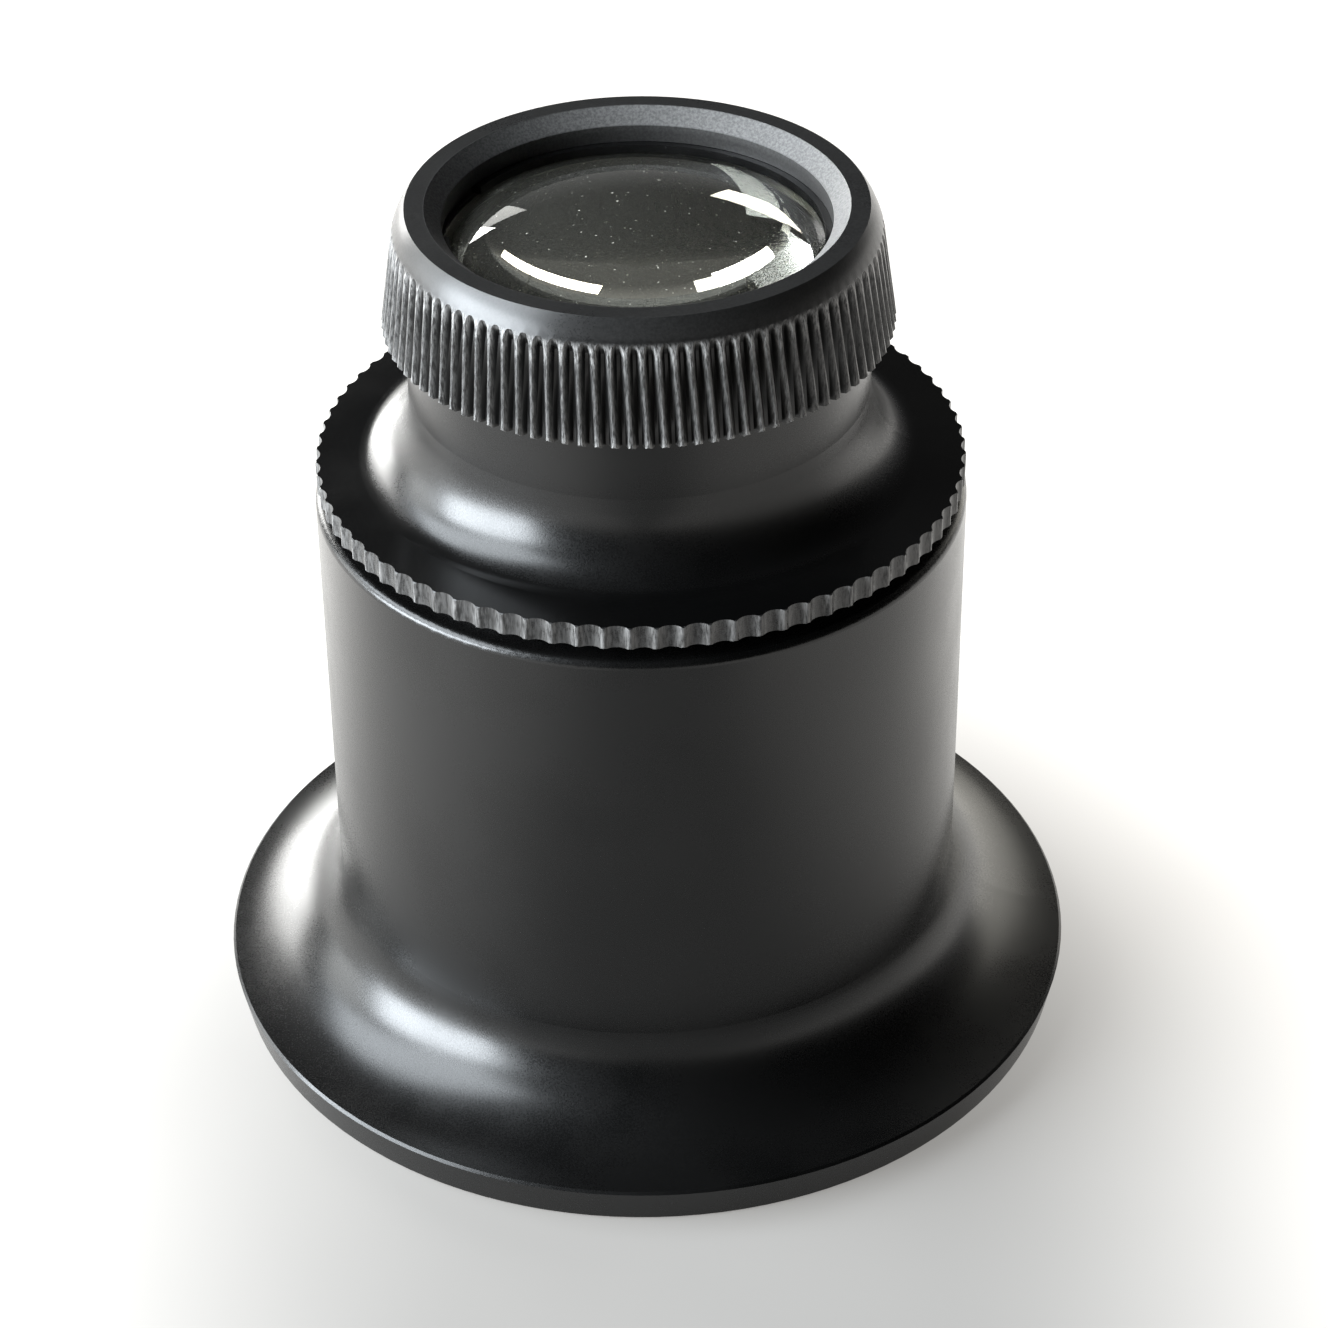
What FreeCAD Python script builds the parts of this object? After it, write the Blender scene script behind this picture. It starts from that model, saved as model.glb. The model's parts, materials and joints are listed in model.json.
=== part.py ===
import FreeCAD, Part
import math
import os

# A watchmaker's eye loupe with two lenses, in millimetres.
# +Z is the optical axis and points from the eye to the work. The origin is the centre of the
# eyecup's rim, on the plane that the loupe stands on. Radii are measured from the axis.

# Running gaps
seat_gap = 0.05          # between a screwed part and the shoulder it is tightened against
slip_gap = 0.02          # around a piece that drops into a bore
bury = 0.10              # how deep a thread ridge runs into the wall that carries it

# Eyecup: a straight barrel on a flared rim, moulded in one piece
rim_radius = 21.0
rim_height = 1.94
rim_foot_radius = 20.66  # the rim band drafts in to this at the foot
foot_inner_radius = 19.2
flare_top_z = 6.7
barrel_top_radius = 15.19
barrel_foot_radius = 15.27
eyecup_bore_radius = 13.30
inner_flare_top_z = 7.2
inner_flare_foot_z = 0.45
eyecup_top_z = 27.80
lip_round = 0.40         # rounding of the barrel's top edge
edge_break = 0.12        # small bevel on moulded corners

# Lens barrel: threaded spigot, fluted grip disc and neck, moulded in one piece
spigot_foot_z = 21.60
spigot_core_radius = 12.70
grip_low_z = 28.45
grip_top_z = 29.56
grip_ridge_radius = 15.08
grip_flute_radius = 14.86
grip_flutes = 82
grip_ridge_share = 0.16  # share of the pitch that a ridge's rounded tip takes
grip_ridge_crown = 0.03  # height of that rounding
grip_edge_break = 0.05
grip_shoulder_radius = 14.00
neck_radius = 10.60
neck_fillet_foot_radius = 13.05
neck_fillet_height = 3.70
neck_shoulder_z = 36.40
neck_top_z = 38.50
neck_bore_radius = 8.80
neck_mouth_radius = 9.32
neck_mouth_z = 36.50
neck_core_radius = 9.90
stop_ledge_z = 30.00
stop_ledge_radius = 8.20
stop_ledge_thickness = 0.80
eye_cavity_radius = 9.70
eye_cavity_top_z = 28.50

# Cap: a knurled ring that carries the objective lens
cap_foot_z = 36.45
cap_top_z = 42.20
cap_foot_radius = 11.65
cap_shoulder_radius = 11.07
cap_shoulder_z = 40.50
cap_crown_radius = 10.37
cap_crown_bulge_radius = 10.84
cap_crown_bulge_z = 41.42
cap_mouth_radius = 9.49
cap_bore_radius = 8.74
cap_mouth_depth = 0.70
cap_seat_z = 37.10
cap_seat_radius = 8.10
cap_sleeve_radius = 9.24
cap_sleeve_foot_z = 36.60
cap_ceiling_z = 38.55
cap_thread_bore_radius = 10.32
knurl_ridges = 100
knurl_depth = 0.36
knurl_tip_excess = 0.02  # the star stands this far out, so that the cap's own cone makes the tips
knurl_tip_share = 0.12   # share of the pitch that a ridge's flat tip takes
knurl_shoulder_share = 0.34  # share of the pitch between a ridge's two sloping shoulders
knurl_shoulder_drop = 0.09   # how far the shoulders lie below the tip
knurl_floor_share = 0.20 # share of the pitch that a groove's flat floor takes
knurl_lean = 3.3         # degrees from upright
knurl_runout_low_z = 40.60
knurl_runout_high_z = 41.25
knurl_runout_radius = 10.93

# Threads: right-handed, one start
grip_pitch = 1.00
grip_thread_low_z = 23.00
grip_thread_high_z = 27.40
grip_male_crest_radius = 13.15
grip_female_crest_radius = 12.85
grip_crest_width = 0.22
cap_pitch = 0.60
cap_thread_low_z = 36.55
cap_thread_high_z = 38.40
cap_male_crest_radius = 10.17
cap_female_crest_radius = 10.05
cap_crest_width = 0.13
thread_flank_angle = 30.0

# Lenses and what holds them
objective_radius = 8.70
objective_outer_curve_radius = 20.0
objective_inner_curve_radius = 28.0
objective_edge_low_z = 37.31
objective_edge_thickness = 2.80
objective_ring_height = 0.40
objective_ring_inner_radius = 8.40
objective_ring_outer_radius = 8.92
objective_groove_radius = 8.96
ring_gap_angle = 34.0     # opening of the split ring, degrees
ring_gap_centre = 165.0   # where the opening is, degrees from +X
eye_radius = 10.50
eye_curve_radius = 31.0
eye_edge_low_z = 23.60
eye_edge_thickness = 1.40
eye_bore_radius = 10.56
eye_ring_height = 0.70
eye_ring_inner_radius = 9.60
eye_ring_notch_width = 1.6
eye_ring_notch_depth = 0.45
stop_aperture_radius = 7.00
stop_thickness = 0.60

CIRCLE_HANDLE = 0.5523   # handle length of a cubic curve that follows a quarter circle or ellipse


def at(radius, z):
    return FreeCAD.Vector(radius, 0, z)


class Outline:
    """Half of a section through the axis, drawn edge by edge and then turned about Z."""

    def __init__(self, radius, z):
        self.first = at(radius, z)
        self.last = self.first
        self.edges = []

    def line(self, *corners):
        for radius, z in corners:
            end = at(radius, z)
            self.edges.append(Part.LineSegment(self.last, end).toShape())
            self.last = end
        return self

    def arc(self, middle, end):
        self.edges.append(Part.Arc(self.last, at(*middle), at(*end)).toShape())
        self.last = at(*end)
        return self

    def quarter(self, end, first_leg):
        """A quarter ellipse to end. first_leg says whether it sets off 'up' (along Z) or 'out'."""
        start = self.last
        goal = at(*end)
        rise = FreeCAD.Vector(0, 0, goal.z - start.z)
        run = FreeCAD.Vector(goal.x - start.x, 0, 0)
        first, second = (rise, run) if first_leg == "up" else (run, rise)
        curve = Part.BezierCurve()
        curve.setPoles([start, start + first * CIRCLE_HANDLE, goal - second * CIRCLE_HANDLE, goal])
        self.edges.append(curve.toShape())
        self.last = goal
        return self

    def solid(self):
        closing = [Part.LineSegment(self.last, self.first).toShape()]
        face = Part.Face(Part.Wire(self.edges + closing))
        return face.revolve(FreeCAD.Vector(0, 0, 0), FreeCAD.Vector(0, 0, 1), 360)


def ring(inner_radius, outer_radius, low_z, high_z):
    corners = [(outer_radius, low_z), (outer_radius, high_z), (inner_radius, high_z)]
    return Outline(inner_radius, low_z).line(*corners).solid()


def sag(radius, curve_radius):
    """How far a sphere of curve_radius falls away from its apex at a distance radius from the axis."""
    return curve_radius - math.sqrt(curve_radius**2 - radius**2)


def thread_ridge(root_radius, crest_radius, crest_width, pitch, low_z, high_z):
    """A helical ridge whose ends lie between low_z and high_z, rooted a little inside its wall."""
    flank = abs(crest_radius - root_radius) + bury
    inward = math.copysign(1, root_radius - crest_radius)
    foot_radius = root_radius + inward * bury
    foot_width = crest_width + 2 * flank * math.tan(math.radians(thread_flank_angle))
    start_z = low_z + foot_width / 2
    corners = [
        at(foot_radius, start_z - foot_width / 2),
        at(crest_radius, start_z - crest_width / 2),
        at(crest_radius, start_z + crest_width / 2),
        at(foot_radius, start_z + foot_width / 2),
    ]
    profile = Part.makePolygon(corners + corners[:1])
    helix = Part.makeHelix(pitch, high_z - low_z - foot_width, foot_radius)
    helix.translate(FreeCAD.Vector(0, 0, start_z))
    return Part.Wire(helix.Edges).makePipeShell([profile], True, True)


def meshing_low_z(low_z, pitch, male_depth, female_depth, crest_width):
    """Where a female ridge starts so that it runs half a pitch above the male ridge."""
    slope = 2 * math.tan(math.radians(thread_flank_angle))
    male_foot = crest_width + slope * (male_depth + bury)
    female_foot = crest_width + slope * (female_depth + bury)
    return low_z + male_foot / 2 + pitch / 2 - female_foot / 2


def around(count, angle_in_pitch, radius, z, turn=0.0):
    """Points at one place in each of count equal sectors."""
    angles = [2 * math.pi * (i + angle_in_pitch) / count + turn for i in range(count)]
    return [FreeCAD.Vector(radius * math.cos(a), radius * math.sin(a), z) for a in angles]


def eyecup():
    body = (
        Outline(foot_inner_radius + edge_break, 0)
        .line((rim_foot_radius - edge_break, 0), (rim_foot_radius, edge_break))
        .line((rim_radius, rim_height - edge_break), (rim_radius - edge_break, rim_height))
        .quarter((barrel_foot_radius, flare_top_z), "out")
        .line((barrel_top_radius, eyecup_top_z - lip_round))
        .quarter((barrel_top_radius - lip_round, eyecup_top_z), "up")
        .line((eyecup_bore_radius + edge_break, eyecup_top_z))
        .line((eyecup_bore_radius, eyecup_top_z - edge_break))
        .line((eyecup_bore_radius, inner_flare_top_z))
        .quarter((foot_inner_radius, inner_flare_foot_z), "up")
        .line((foot_inner_radius, edge_break))
        .solid()
    )
    low_z = meshing_low_z(
        grip_thread_low_z,
        grip_pitch,
        grip_male_crest_radius - spigot_core_radius,
        eyecup_bore_radius - grip_female_crest_radius,
        grip_crest_width,
    )
    ridge = thread_ridge(
        eyecup_bore_radius, grip_female_crest_radius, grip_crest_width, grip_pitch,
        low_z, grip_thread_high_z,
    )
    return body.fuse(ridge)


def fluted_disc():
    """The grip disc: concave flutes between rounded ridges, with a small bevel at both faces."""
    corner = grip_ridge_share / 2
    corner_radius = grip_ridge_radius - grip_ridge_crown
    ridges = around(grip_flutes, 0.0, grip_ridge_radius, grip_low_z)
    starts = around(grip_flutes, corner, corner_radius, grip_low_z)
    floors = around(grip_flutes, 0.5, grip_flute_radius, grip_low_z)
    ends = around(grip_flutes, 1 - corner, corner_radius, grip_low_z)
    before = ends[-1:] + ends[:-1]
    edges = []
    for last_end, ridge, start, floor, end in zip(before, ridges, starts, floors, ends):
        edges.append(Part.Arc(last_end, ridge, start).toShape())
        edges.append(Part.Arc(start, floor, end).toShape())
    height = grip_top_z - grip_low_z
    disc = Part.Face(Part.Wire(edges)).extrude(FreeCAD.Vector(0, 0, height))
    bevelled = (
        Outline(0, grip_low_z)
        .line((grip_ridge_radius - grip_edge_break, grip_low_z))
        .line((grip_ridge_radius + grip_edge_break, grip_low_z + 2 * grip_edge_break))
        .line((grip_ridge_radius + grip_edge_break, grip_top_z - 2 * grip_edge_break))
        .line((grip_ridge_radius - grip_edge_break, grip_top_z), (0, grip_top_z))
        .solid()
    )
    return disc.common(bevelled)


def lens_barrel():
    seat_z = eye_edge_low_z + eye_edge_thickness + eye_seat_drop()
    shoulder_z = eyecup_top_z + seat_gap
    disc_mid_z = (grip_low_z + grip_top_z) / 2
    body = (
        Outline(0, spigot_foot_z)
        .line((spigot_core_radius - edge_break, spigot_foot_z))
        .line((spigot_core_radius, spigot_foot_z + edge_break))
        .line((spigot_core_radius, shoulder_z), (grip_shoulder_radius, shoulder_z))
        .line((grip_shoulder_radius, disc_mid_z), (neck_fillet_foot_radius, disc_mid_z))
        .line((neck_fillet_foot_radius, grip_top_z))
        .quarter((neck_radius, grip_top_z + neck_fillet_height), "out")
        .line((neck_radius, neck_shoulder_z), (neck_core_radius, neck_shoulder_z))
        .line((neck_core_radius, neck_top_z - edge_break))
        .line((neck_core_radius - edge_break, neck_top_z), (0, neck_top_z))
        .solid()
    )
    bore = (
        Outline(0, spigot_foot_z)
        .line((eye_bore_radius, spigot_foot_z), (eye_bore_radius, seat_z))
        .line((eye_cavity_radius, seat_z), (eye_cavity_radius, eye_cavity_top_z))
        .line((stop_ledge_radius, stop_ledge_z - stop_ledge_thickness))
        .line((stop_ledge_radius, stop_ledge_z), (neck_bore_radius, stop_ledge_z))
        .line((neck_bore_radius, neck_mouth_z), (neck_mouth_radius, neck_mouth_z))
        .line((neck_mouth_radius, neck_top_z), (0, neck_top_z))
        .solid()
    )
    grip_thread = thread_ridge(
        spigot_core_radius, grip_male_crest_radius, grip_crest_width, grip_pitch,
        grip_thread_low_z, grip_thread_high_z,
    )
    cap_thread = thread_ridge(
        neck_core_radius, cap_male_crest_radius, cap_crest_width, cap_pitch,
        cap_thread_low_z, cap_thread_high_z,
    )
    return body.fuse(fluted_disc()).cut(bore).fuse([grip_thread, cap_thread])


def shoulder_rise():
    """Share of the ridge's full height at which its shoulders begin."""
    return 1 - knurl_shoulder_drop / (knurl_depth + knurl_tip_excess)


def knurl_section(z, floor_radius, tip_radius, turn):
    """A closed star: flat groove floors, steep flanks, and ridges with sloping shoulders."""
    shoulder_radius = floor_radius + (tip_radius - floor_radius) * shoulder_rise()
    places = [
        (-knurl_floor_share / 2, floor_radius),
        (knurl_floor_share / 2, floor_radius),
        (0.5 - knurl_shoulder_share / 2, shoulder_radius),
        (0.5 - knurl_tip_share / 2, tip_radius),
        (0.5 + knurl_tip_share / 2, tip_radius),
        (0.5 + knurl_shoulder_share / 2, shoulder_radius),
    ]
    corners = [around(knurl_ridges, share, radius, z, turn) for share, radius in places]
    star = [corner for sector in zip(*corners) for corner in sector]
    return Part.makePolygon(star + star[:1])


def knurl():
    """A leaning, tapered star prism whose tips stand just outside the cap's outline."""
    taper = (cap_foot_radius - cap_shoulder_radius) / (cap_shoulder_z - cap_foot_z)
    lean = math.tan(math.radians(knurl_lean)) / cap_foot_radius
    foot_z = cap_foot_z - bury
    sections = []
    for z in (foot_z, knurl_runout_low_z, knurl_runout_high_z):
        tip = cap_foot_radius - taper * (z - cap_foot_z) + knurl_tip_excess
        floor = tip - knurl_tip_excess - knurl_depth
        if z == knurl_runout_high_z:
            floor = knurl_runout_radius
        sections.append(knurl_section(z, floor, tip, -lean * (z - foot_z)))
    star = Part.makeLoft(sections, True, True)
    crown = Part.makeCylinder(
        cap_foot_radius, cap_top_z - knurl_runout_high_z, FreeCAD.Vector(0, 0, knurl_runout_high_z)
    )
    return star.fuse(crown)


def cap():
    body = (
        Outline(0, cap_foot_z)
        .line((cap_foot_radius - edge_break, cap_foot_z))
        .line((cap_foot_radius, cap_foot_z + edge_break), (cap_shoulder_radius, cap_shoulder_z))
        .arc((cap_crown_bulge_radius, cap_crown_bulge_z), (cap_crown_radius, cap_top_z))
        .line((0, cap_top_z))
        .solid()
    )
    mouth_z = cap_top_z - cap_mouth_depth
    groove_low_z = objective_ring_foot() - slip_gap
    groove_high_z = groove_low_z + objective_ring_height + 2 * slip_gap
    bore = (
        Outline(0, cap_foot_z)
        .line((cap_thread_bore_radius, cap_foot_z), (cap_thread_bore_radius, cap_ceiling_z))
        .line((cap_sleeve_radius, cap_ceiling_z), (cap_sleeve_radius, cap_sleeve_foot_z))
        .line((cap_seat_radius, cap_sleeve_foot_z), (cap_seat_radius, cap_seat_z))
        .line((cap_bore_radius, cap_seat_z), (cap_bore_radius, groove_low_z))
        .line((objective_groove_radius, groove_low_z))
        .line((objective_groove_radius, groove_high_z), (cap_bore_radius, groove_high_z))
        .line((cap_bore_radius, mouth_z), (cap_mouth_radius, cap_top_z), (0, cap_top_z))
        .solid()
    )
    low_z = meshing_low_z(
        cap_thread_low_z,
        cap_pitch,
        cap_male_crest_radius - neck_core_radius,
        cap_thread_bore_radius - cap_female_crest_radius,
        cap_crest_width,
    )
    ridge = thread_ridge(
        cap_thread_bore_radius, cap_female_crest_radius, cap_crest_width, cap_pitch,
        low_z, cap_thread_high_z,
    )
    return body.common(knurl()).cut(bore).fuse(ridge)


def lens(radius, inner_curve_radius, outer_curve_radius, edge_low_z, edge_thickness):
    """A lens with two convex faces, the inner one towards the eye, and a ground edge."""
    edge_high_z = edge_low_z + edge_thickness
    inner_crown = sag(radius, inner_curve_radius)
    outer_crown = sag(radius, outer_curve_radius)
    inner_z = edge_low_z - inner_crown + sag(radius / 2, inner_curve_radius)
    outer_z = edge_high_z + outer_crown - sag(radius / 2, outer_curve_radius)
    return (
        Outline(0, edge_low_z - inner_crown)
        .arc((radius / 2, inner_z), (radius, edge_low_z))
        .line((radius, edge_high_z))
        .arc((radius / 2, outer_z), (0, edge_high_z + outer_crown))
        .solid()
    )


def objective_lens():
    return lens(
        objective_radius,
        objective_inner_curve_radius,
        objective_outer_curve_radius,
        objective_edge_low_z,
        objective_edge_thickness,
    )


def objective_ring_foot():
    """Height at which the ring's inner corner just clears the lens's outer face."""
    edge_z = objective_edge_low_z + objective_edge_thickness
    rise = sag(objective_radius, objective_outer_curve_radius)
    rise -= sag(objective_ring_inner_radius, objective_outer_curve_radius)
    return edge_z + rise + slip_gap


def objective_ring():
    """A split spring ring that snaps into the cap's groove above the lens."""
    low_z = objective_ring_foot()
    high_z = low_z + objective_ring_height
    whole = ring(objective_ring_inner_radius, objective_ring_outer_radius, low_z, high_z)
    gap = Part.makeCylinder(
        objective_groove_radius,
        objective_ring_height,
        FreeCAD.Vector(0, 0, low_z),
        FreeCAD.Vector(0, 0, 1),
        ring_gap_angle,
    )
    turn = ring_gap_centre - ring_gap_angle / 2
    gap.rotate(FreeCAD.Vector(0, 0, 0), FreeCAD.Vector(0, 0, 1), turn)
    return whole.cut(gap)


def eye_lens():
    return lens(
        eye_radius, eye_curve_radius, eye_curve_radius, eye_edge_low_z, eye_edge_thickness
    )


def eye_seat_drop():
    """Height above the eye lens's upper edge at which the seat's inner corner meets its face."""
    return sag(eye_radius, eye_curve_radius) - sag(eye_cavity_radius, eye_curve_radius) + slip_gap


def eye_ring():
    """The press ring under the eye lens, with two notches for a lens spanner."""
    lens_z = eye_edge_low_z - sag(eye_radius, eye_curve_radius)
    high_z = lens_z + sag(eye_ring_inner_radius, eye_curve_radius) - slip_gap
    low_z = high_z - eye_ring_height
    body = ring(eye_ring_inner_radius, eye_bore_radius - slip_gap, low_z, high_z)
    slot = Part.makeBox(
        2 * eye_bore_radius,
        eye_ring_notch_width,
        eye_ring_notch_depth,
        FreeCAD.Vector(-eye_bore_radius, -eye_ring_notch_width / 2, low_z),
    )
    return body.cut(slot)


def glare_stop():
    """The blackened ring between the lenses that trims the picture's edge."""
    return ring(
        stop_aperture_radius,
        neck_bore_radius - slip_gap,
        stop_ledge_z + slip_gap,
        stop_ledge_z + slip_gap + stop_thickness,
    )


PIECES = {
    "eyecup": eyecup,
    "lens_barrel": lens_barrel,
    "knurled_cap": cap,
    "objective_lens": objective_lens,
    "objective_snap_ring": objective_ring,
    "glare_stop": glare_stop,
    "eye_lens": eye_lens,
    "eye_lens_ring": eye_ring,
}

os.makedirs("parts", exist_ok=True)
for name, make in PIECES.items():
    piece = make()
    piece.exportStep(f"parts/{name}.step")
    print(name, "solids", len(piece.Solids), "valid", piece.isValid(), "mm3", round(piece.Volume, 1))
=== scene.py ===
import json
import math

import bpy
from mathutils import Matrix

# A watchmaker's eye loupe standing on its eyecup, on a pale floor.
# Lengths are in metres unless a name or a comment says millimetres. Heights are above the floor
# and radii are from the optical axis. Azimuths are in degrees from the camera's side (-Y),
# positive towards +X.

MM = 0.001

# Where wear begins and where it is full, in millimetres
DISC_FOOT = (28.30, 28.45)        # height of the grip disc's lower face
DISC_FLUTES = (14.74, 15.06)      # radius, from just inside the flutes to the tips of the ridges
KNURL_RIDGES = (16.62, 16.84)     # radius plus taper times height: low on a ridge, and at its tip
KNURL_TAPER = 0.1432              # how much the knurl's cone narrows for each unit of height
KNURL_MIDDLE = 38.5               # height
# Over this distance from the middle, the ridges' wear grows, partly as a painted highlight.
KNURL_ENDS = (1.2, 2.2)           # distance from the middle
KNURL_TOP = (40.9, 41.3)          # height at which the ridges run out
CROWN = (41.1, 41.5)              # height at which the smooth crown begins
MOUTH = (9.44, 9.52)              # radius, from the bevelled mouth to the crown
MOUTH_FOOT = (40.20, 40.30)       # height in the bore, just above the lens's edge
MOUTH_BEVEL = (41.48, 41.56)      # height of the bevel's lower edge

# Each lamp's azimuth, elevation, distance, width, height, radiance and colour, and the one
# piece that it shines on where it doesn't light everything
LAMPS = {
    "window": (-72, 12, 0.36, 0.30, 0.16, 35.0, (0.93, 1.0, 1.06), None),
    "window_top": (-84, 41, 0.36, 0.36, 0.15, 15.0, (0.93, 1.0, 1.06), None),
    "wall_left": (-110, 12, 0.37, 0.12, 0.16, 7.0, (0.97, 1.0, 1.0), None),
    "back_left": (-146, 12, 0.36, 0.15, 0.17, 19.0, (1.0, 1.0, 0.98), None),
    "back_wall_left": (-160.5, 12, 0.37, 0.05, 0.14, 3.5, (1.0, 1.0, 0.96), None),
    "lens_lamp": (151, 20, 0.36, 0.23, 0.045, 12.0, (1.0, 0.94, 0.82), "objective_lens"),
    "rim_lamp": (150, 9, 0.36, 0.30, 0.22, 3.0, (1.0, 0.97, 0.88), "eyecup"),
}
LAMP_AIM = 0.02                   # height that the lamps point at
BACKDROP = (0.95, 0.95, 0.93, 1.0)
FLOOR_SIZE = 4.0
FLOOR_GAP = 0.02 * MM             # keeps the floor's face clear of the rim's

# The camera, as fitted to the photograph
SENSOR_WIDTH_MM = 36.0
FOCAL_LENGTH_MM = 95.974
CAMERA_PLACE = (0, -0.139886, 0.116506)
CAMERA_TURN = (54.5668, 0.4820, -0.7430)  # degrees about X, Y and Z


# ---------------------------------------------------------------- node helpers


class Nodes:
    """The nodes of a material or a world, with a short method for each kind that is used."""

    def __init__(self, owner):
        owner.use_nodes = True
        self.owner = owner
        self.tree = owner.node_tree
        self.tree.nodes.clear()
        self.coordinates = self.add("ShaderNodeTexCoord").outputs
        self.position = self.coordinates["Object"]

    def add(self, kind, **settings):
        node = self.tree.nodes.new(kind)
        for key, value in settings.items():
            setattr(node, key, value)
        return node

    def feed(self, socket, value):
        if isinstance(value, bpy.types.NodeSocket):
            self.tree.links.new(value, socket)
        else:
            socket.default_value = value

    def noise(self, feature_mm, detail=2.0, roughness=0.5, where=None):
        node = self.add("ShaderNodeTexNoise")
        self.feed(node.inputs["Vector"], where or self.position)
        self.feed(node.inputs["Scale"], 1 / (feature_mm * MM))
        self.feed(node.inputs["Detail"], detail)
        self.feed(node.inputs["Roughness"], roughness)
        return node.outputs["Fac"]

    def scuffs(self, width_mm, low, high):
        """Upright streaks, five times as long as they are wide, between the shares low and high."""
        stretch = self.add("ShaderNodeVectorMath", operation="MULTIPLY")
        self.feed(stretch.inputs[0], self.position)
        self.feed(stretch.inputs[1], (1.0, 1.0, 1 / 5))
        streaks = self.noise(width_mm, detail=4.0, roughness=0.7, where=stretch.outputs["Vector"])
        return self.remap(streaks, 0.35, 0.65, low, high)

    def math(self, operation, first, second=0.0, clamp=False):
        node = self.add("ShaderNodeMath", operation=operation, use_clamp=clamp)
        self.feed(node.inputs[0], first)
        self.feed(node.inputs[1], second)
        return node.outputs["Value"]

    def remap(self, value, low, high, new_low, new_high):
        """A smooth step from new_low to new_high while value goes from low to high."""
        node = self.add("ShaderNodeMapRange", interpolation_type="SMOOTHSTEP")
        self.feed(node.inputs["Value"], value)
        self.feed(node.inputs["From Min"], low)
        self.feed(node.inputs["From Max"], high)
        self.feed(node.inputs["To Min"], new_low)
        self.feed(node.inputs["To Max"], new_high)
        return node.outputs["Result"]

    def blend(self, share, first, second, kind="MIX"):
        node = self.add("ShaderNodeMix", data_type="RGBA", blend_type=kind)
        self.feed(node.inputs["Factor"], share)
        self.feed(node.inputs[6], first)
        self.feed(node.inputs[7], second)
        return node.outputs[2]

    def ramp(self, value, stops):
        """A colour from two stops, each a position and a colour."""
        node = self.add("ShaderNodeValToRGB")
        self.feed(node.inputs["Fac"], value)
        for element, (position, colour) in zip(node.color_ramp.elements, stops):
            element.position = position
            element.color = colour
        return node.outputs["Color"]

    def bump(self, height, depth_mm, strength=1.0):
        node = self.add("ShaderNodeBump")
        self.feed(node.inputs["Height"], height)
        self.feed(node.inputs["Distance"], depth_mm * MM)
        self.feed(node.inputs["Strength"], strength)
        return node.outputs["Normal"]

    def split(self, vector):
        """The vector's X, Y and Z."""
        node = self.add("ShaderNodeSeparateXYZ")
        self.feed(node.inputs[0], vector)
        return tuple(node.outputs)

    def height_and_radius(self):
        """Both in millimetres."""
        x, y, z = self.split(self.position)
        squares = self.math("ADD", self.math("MULTIPLY", x, x), self.math("MULTIPLY", y, y))
        radius = self.math("SQRT", squares)
        return self.math("DIVIDE", z, MM), self.math("DIVIDE", radius, MM)

    def flatness(self, low, high):
        """0 on walls and 1 on faces that look up or down, by the normal's height."""
        _, _, upward = self.split(self.coordinates["Normal"])
        return self.remap(self.math("ABSOLUTE", upward), low, high, 0.0, 1.0)

    def surface(self, **inputs):
        shader = self.add("ShaderNodeBsdfPrincipled")
        for key, value in inputs.items():
            self.feed(shader.inputs[key.replace("_", " ")], value)
        self.feed(self.add("ShaderNodeOutputMaterial").inputs["Surface"], shader.outputs[0])
        return self.owner


def grey(value, warmth=0.0):
    """A grey with that share more red and less blue."""
    return (value * (1 + warmth), value, value * (1 - warmth), 1.0)


# ---------------------------------------------------------------- materials


def moulded_plastic(name, roughness, wear=None, worn_grey=0.0):
    """Satin black plastic: fine grain, uneven sheen, faint dust, and wear where it is given.

    wear gives two sockets: the share of worn grey, and what the wear adds to the roughness.
    """
    n = Nodes(bpy.data.materials.new(name))
    grain = n.noise(0.08, detail=1.5)
    cloud = n.noise(6.0, detail=3.0)
    dust = n.noise(0.35, detail=5.0, roughness=0.7)
    colour = n.blend(n.remap(cloud, 0.35, 0.65, 0.0, 1.0), grey(0.0016), grey(0.0024, 0.03))
    colour = n.blend(n.remap(dust, 0.70, 0.80, 0.0, 0.25), colour, grey(0.03, 0.06))
    rough = n.math("ADD", n.remap(cloud, 0.3, 0.7, -0.03, 0.03), roughness)
    rough = n.math("ADD", n.remap(grain, 0.3, 0.7, -0.03, 0.03), rough)
    if wear is not None:
        share, dulling = wear(n)
        colour = n.blend(share, colour, grey(worn_grey, 0.02))
        rough = n.math("ADD", rough, dulling)
    return n.surface(
        Base_Color=colour, Roughness=rough, IOR=1.40, Normal=n.bump(grain, 0.0020)
    )


def disc_edge_wear(n):
    """Where fingers rub the disc: all over its fluted edge, most on the ridges, in streaks.

    Its flat top has kept a closer sheen than the rest.
    """
    height, radius = n.height_and_radius()
    on_disc = n.remap(height, *DISC_FOOT, 0.0, 1.0)
    reach = n.remap(radius, *DISC_FLUTES, 0.0, 1.0)
    streaks = n.scuffs(0.14, 0.15, 1.0)
    upright = n.math("SUBTRACT", 1.0, n.flatness(0.5, 0.8))
    share = n.math("MULTIPLY", n.math("MULTIPLY", reach, on_disc), upright)
    share = n.math("MULTIPLY", share, streaks, clamp=True)
    sheen = n.math("MULTIPLY", n.flatness(0.90, 0.99), -0.08)
    return share, n.math("ADD", n.math("MULTIPLY", share, 0.08), sheen)


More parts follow.
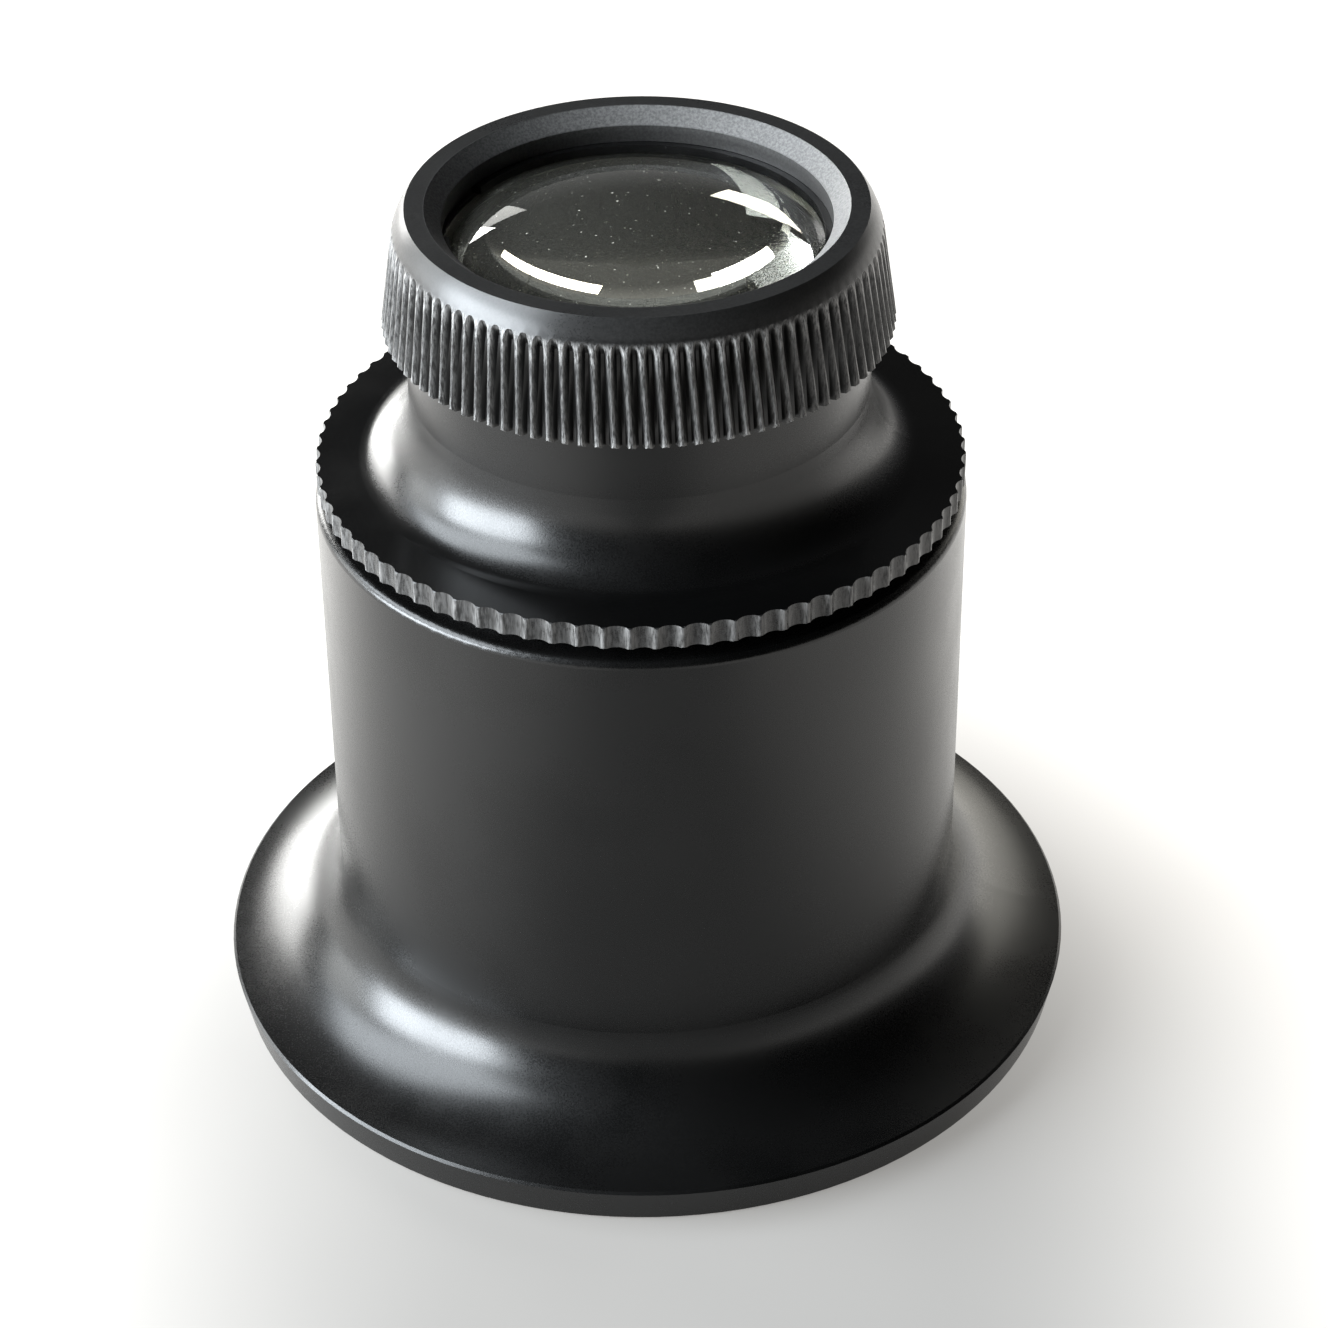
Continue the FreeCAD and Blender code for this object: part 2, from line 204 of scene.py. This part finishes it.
def cap_wear(n):
    """Wear in streaks on the knurl's ridges, most near where they run out, and some on the mouth.

    The crown has a trace of it. The ridges follow a cone that narrows upwards. Where the ridges run
    out, their extra light grey is partly wear and partly a painted highlight.
    """
    height, radius = n.height_and_radius()
    cone = n.math("ADD", radius, n.math("MULTIPLY", height, KNURL_TAPER))
    tips = n.remap(cone, *KNURL_RIDGES, 0.0, 1.0)
    below_crown = n.remap(height, *KNURL_TOP, 1.0, 0.0)
    from_middle = n.math("ABSOLUTE", n.math("SUBTRACT", height, KNURL_MIDDLE))
    # Partly wear and partly a painted highlight: the ridges grow lighter grey towards where they
    # run out.
    ends_wear_and_highlight = n.remap(from_middle, *KNURL_ENDS, 0.35, 1.0)
    streaks = n.scuffs(0.09, 0.05, 1.0)
    ridges = n.math("MULTIPLY", n.math("MULTIPLY", tips, below_crown), streaks)
    ridges = n.math("MULTIPLY", ridges, ends_wear_and_highlight)
    fleck = n.remap(n.noise(0.12, detail=4.0, roughness=0.7), 0.35, 0.65, 0.5, 1.0)
    crown = n.remap(height, *CROWN, 0.0, 0.06)
    inside = n.remap(radius, *MOUTH, 0.45, 0.0)
    in_bore = n.remap(height, *MOUTH_FOOT, 0.0, 0.3)
    on_bevel = n.remap(height, *MOUTH_BEVEL, 0.0, 0.7)
    mouth = n.math("MULTIPLY", inside, n.math("ADD", in_bore, on_bevel))
    above_knurl = n.math("MULTIPLY", n.math("ADD", mouth, crown), fleck)
    share = n.math("ADD", ridges, above_knurl, clamp=True)
    return share, n.math("MULTIPLY", mouth, 0.70)


def gloss_black(name, roughness):
    """Blackened metal that is up to 0.12 rougher where it is smeared."""
    n = Nodes(bpy.data.materials.new(name))
    smear = n.noise(1.5, detail=4.0)
    rough = n.remap(smear, 0.35, 0.65, roughness, roughness + 0.12)
    colour = n.blend(n.remap(n.noise(0.2), 0.6, 0.75, 0.0, 1.0), grey(0.006), grey(0.02))
    return n.surface(
        Base_Color=colour, Roughness=rough, IOR=1.5, Normal=n.bump(smear, 0.01, 0.3)
    )


def dull_black(name):
    """Matt blackening that swallows stray light."""
    n = Nodes(bpy.data.materials.new(name))
    fleck = n.noise(0.15, detail=3.0)
    colour = n.blend(n.remap(fleck, 0.4, 0.7, 0.0, 1.0), grey(0.006), grey(0.016, 0.04))
    return n.surface(Base_Color=colour, Roughness=0.75, Normal=n.bump(fleck, 0.01, 0.6))


def lens_glass(name):
    """Glass, faintly yellow, with a thin film and specks of dust that scatter a little light."""
    n = Nodes(bpy.data.materials.new(name))
    speck = n.remap(n.noise(0.2, roughness=0.4), 0.72, 0.76, 0.0, 0.4)
    film = n.remap(n.noise(0.12, detail=5.0, roughness=0.7), 0.3, 0.7, 0.010, 0.028)
    clear = n.math("SUBTRACT", 1.0, n.math("ADD", film, speck))
    return n.surface(
        Base_Color=(0.88, 0.87, 0.76, 1.0), Roughness=0.0, IOR=1.52, Transmission_Weight=clear
    )


def glowing_floor(name):
    """A pale floor that glows, though it is no lamp, as painted light. It glows least in front of
    the loupe, where the dimmer glow is a painted shadow, and most behind it and at its sides.
    """
    n = Nodes(bpy.data.materials.new(name))
    mottle = n.noise(40.0, detail=3.0)
    colour = n.blend(n.remap(mottle, 0.3, 0.7, 0.0, 1.0), grey(0.12, 0.03), grey(0.14, 0.03))
    across, away, _ = n.split(n.position)
    # Painted light: the glow rises to the left, to the right and behind the loupe, and the dim glow
    # in front is a painted shadow.
    left = n.remap(across, -0.046, -0.008, 0.95, 0.0)
    right = n.remap(across, 0.012, 0.044, 0.0, 0.85)
    behind = n.remap(away, -0.010, 0.030, 0.30, 0.95)
    return n.surface(
        Base_Color=colour, Roughness=0.8, Specular_IOR_Level=0.1,
        Emission_Color=(1.0, 0.98, 0.94, 1.0),
        Emission_Strength=n.math("ADD", n.math("ADD", left, right), behind),
    )


# ---------------------------------------------------------------- the loupe

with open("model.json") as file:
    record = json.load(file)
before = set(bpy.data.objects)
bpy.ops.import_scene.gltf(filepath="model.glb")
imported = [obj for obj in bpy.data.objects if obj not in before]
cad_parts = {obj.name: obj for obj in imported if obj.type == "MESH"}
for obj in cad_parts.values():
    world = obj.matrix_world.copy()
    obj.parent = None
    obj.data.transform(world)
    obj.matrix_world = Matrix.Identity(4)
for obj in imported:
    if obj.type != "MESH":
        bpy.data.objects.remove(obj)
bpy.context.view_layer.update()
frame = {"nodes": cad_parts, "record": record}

FINISHES = {
    "eyecup_plastic": moulded_plastic("eyecup_plastic", 0.28),
    "barrel_plastic": moulded_plastic("barrel_plastic", 0.29, disc_edge_wear, worn_grey=0.12),
    # On the cap, part of the worn grey where the knurl's ridges run out is a painted highlight.
    "cap_plastic": moulded_plastic("cap_plastic", 0.32, cap_wear, worn_grey=0.22),
    "lens_glass": lens_glass("lens_glass"),
    "ring_finish": gloss_black("ring_finish", 0.12),
    "stop_finish": dull_black("stop_finish"),
}
slot_of = {part["node"]: part["material_slot"] for part in frame["record"]["subparts"]}
for node, piece in frame["nodes"].items():
    piece.data.materials.clear()
    piece.data.materials.append(FINISHES[slot_of[node]])


# ---------------------------------------------------------------- floor, lights, camera


def floor():
    bpy.ops.mesh.primitive_plane_add(size=FLOOR_SIZE, location=(0, 0, -FLOOR_GAP))
    plane = bpy.context.object
    plane.name = "floor"
    plane.data.materials.append(glowing_floor("floor_paint"))


def softbox(name, azimuth, elevation, distance, width, height, radiance, colour):
    """A rectangular light that faces the loupe. radiance is what a mirror would show of it."""
    a, e = math.radians(azimuth), math.radians(elevation)
    light = bpy.data.lights.new(name, "AREA")
    light.shape = "RECTANGLE"
    light.size, light.size_y = width, height
    light.energy = radiance * math.pi * width * height
    light.color = colour
    lamp = bpy.data.objects.new(name, light)
    lamp.location = (
        distance * math.cos(e) * math.sin(a),
        -distance * math.cos(e) * math.cos(a),
        LAMP_AIM + distance * math.sin(e),
    )
    lamp.rotation_euler = (math.pi / 2 - e, 0, a)
    lamp.visible_camera = False
    bpy.context.scene.collection.objects.link(lamp)
    return lamp


def light_only(lamp, piece):
    """Keeps the lamp's light off all but this piece, as a screen around the lamp would."""
    receivers = bpy.data.collections.new(lamp.name + "_receivers")
    receivers.objects.link(piece)
    lamp.light_linking.receiver_collection = receivers


def room():
    """A dim room that reflections see: darker upwards, and darkest on the camera's side.

    The camera itself sees a pale backdrop instead.
    """
    n = Nodes(bpy.data.worlds.new("room"))
    _, backwards, upwards = n.split(n.coordinates["Generated"])
    by_height = n.ramp(upwards, [(0.10, grey(0.30)), (0.35, grey(0.07))])
    by_side = n.ramp(backwards, [(0.0, grey(0.12)), (0.6, grey(1.0))])
    dim = n.blend(1.0, by_height, by_side, kind="MULTIPLY")
    seen = n.add("ShaderNodeLightPath").outputs["Is Camera Ray"]
    background = n.add("ShaderNodeBackground")
    n.feed(background.inputs["Color"], n.blend(seen, dim, BACKDROP))
    n.feed(n.add("ShaderNodeOutputWorld").inputs["Surface"], background.outputs[0])
    bpy.context.scene.world = n.owner


floor()
room()
for lamp_name, (*placing, only_piece) in LAMPS.items():
    softbox_lamp = softbox(lamp_name, *placing)
    if only_piece is not None:
        light_only(softbox_lamp, frame["nodes"][only_piece])

camera = bpy.data.objects.new("camera", bpy.data.cameras.new("camera"))
camera.data.sensor_width = SENSOR_WIDTH_MM
camera.data.lens = FOCAL_LENGTH_MM
camera.data.clip_start = 0.01
camera.location = CAMERA_PLACE
camera.rotation_euler = tuple(math.radians(degrees) for degrees in CAMERA_TURN)
bpy.context.scene.collection.objects.link(camera)
bpy.context.scene.camera = camera
bpy.context.scene.view_settings.view_transform = "Standard"
